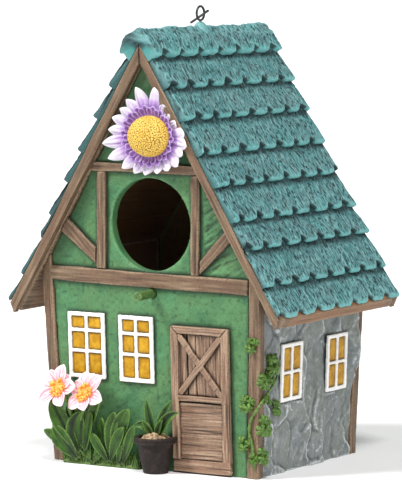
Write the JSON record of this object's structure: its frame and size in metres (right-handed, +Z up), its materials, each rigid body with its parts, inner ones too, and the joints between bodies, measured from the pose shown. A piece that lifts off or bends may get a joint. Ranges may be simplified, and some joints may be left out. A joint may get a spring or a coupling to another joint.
{
  "type": "birdhouse",
  "caption": "Timber-framed cottage birdhouse with steep shingled roof, round entrance hole, perch, daisy on the gable, planting, hanging eye and rear clean-out cover.",
  "frame": {"origin": "centre of the flat base, on the surface it stands on", "axes": "+Z up, the front with the entrance hole faces -Y, +X to the right seen from the front"},
  "size_m": [0.167, 0.1316, 0.2352],
  "materials": {
    "green_stucco": "hand-painted mottled green resin with a fine stucco grain",
    "carved_stone": "resin carved as grey stone, dry-brushed lighter on the ridges",
    "base_resin": "unpainted matt resin",
    "teal_shingle": "turquoise dry-brushed over grey-blue resin, grooved down the slope",
    "brown_timber": "taupe-brown painted resin with a carved wood grain",
    "door_timber": "taupe-brown painted resin with a carved wood grain",
    "white_frame": "matt white paint",
    "amber_pane": "golden yellow paint, darker at the edges",
    "daisy_petal": "white petals shaded purple at the root",
    "daisy_disc": "golden stippled paint",
    "perch_green": "green painted resin",
    "pink_petal": "white petals blushed pink",
    "orange_centre": "orange frilled centre",
    "leaf_green": "leaf green with dark veins and light edges",
    "pot_brown": "dark brown flower pot",
    "pot_soil": "tan pebbly soil",
    "dark_wire": "dark grey metal wire",
    "cover_resin": "green painted cover plate",
    "screw_steel": "zinc-plated steel"
  },
  "bodies": {
    "house": {"cleanout_screw": "screw_steel", "collar_beam": "brown_timber", "daisy_disc": "daisy_disc", "daisy_petals": "daisy_petal", "door_boards": "door_timber", "door_cross_brace": "door_timber", "door_frame": "door_timber", "floor_plate": "base_resin", "flower_centres": "orange_centre", "flower_petals": "pink_petal", "front_barge_left": "brown_timber", "front_barge_right": "brown_timber", "front_left_post": "brown_timber", "front_left_window_frame": "white_frame", "front_right_post": "brown_timber", "front_right_window_frame": "white_frame", "front_wall": "green_stucco", "garden_leaves": "leaf_green", "ivy": "leaf_green", "left_brace": "brown_timber", "left_shingles_1": "teal_shingle", "left_shingles_2": "teal_shingle", "left_shingles_3": "teal_shingle", "left_shingles_4": "teal_shingle", "left_shingles_5": "teal_shingle", "left_shingles_6": "teal_shingle", "left_shingles_7": "teal_shingle", "left_shingles_8": "teal_shingle", "left_stud": "brown_timber", "left_wall": "carved_stone", "left_window_frames": "white_frame", "perch_peg": "perch_green", "plant_pot": "pot_brown", "pot_leaves": "leaf_green", "pot_soil": "pot_soil", "rear_barge_left": "brown_timber", "rear_barge_right": "brown_timber", "rear_left_post": "brown_timber", "rear_right_post": "brown_timber", "rear_wall": "green_stucco", "ridge_cap": "teal_shingle", "right_brace": "brown_timber", "right_shingles_1": "teal_shingle", "right_shingles_2": "teal_shingle", "right_shingles_3": "teal_shingle", "right_shingles_4": "teal_shingle", "right_shingles_5": "teal_shingle", "right_shingles_6": "teal_shingle", "right_shingles_7": "teal_shingle", "right_shingles_8": "teal_shingle", "right_stud": "brown_timber", "right_wall": "carved_stone", "right_window_frames": "white_frame", "roof_deck_left": "brown_timber", "roof_deck_right": "brown_timber", "screw_eye": "dark_wire", "tie_beam": "brown_timber", "window_panes": "amber_pane"},
    "link": {"hanging_link": "dark_wire"},
    "cover": {"cleanout_cover": "cover_resin"}
  },
  "joints": [
    {"name": "link_swing", "type": "hinge", "parent": "house", "child": "link", "pos_m": [0, 0.00048, 0.23009], "axis": [0, 0, 1], "range_deg": [-85, 10]},
    {"name": "cover_swing", "type": "hinge", "parent": "house", "child": "cover", "pos_m": [0, 0.05122, 0.05696], "axis": [0, 0.9992, -0.039], "range_deg": [-110, 110]}
  ]
}
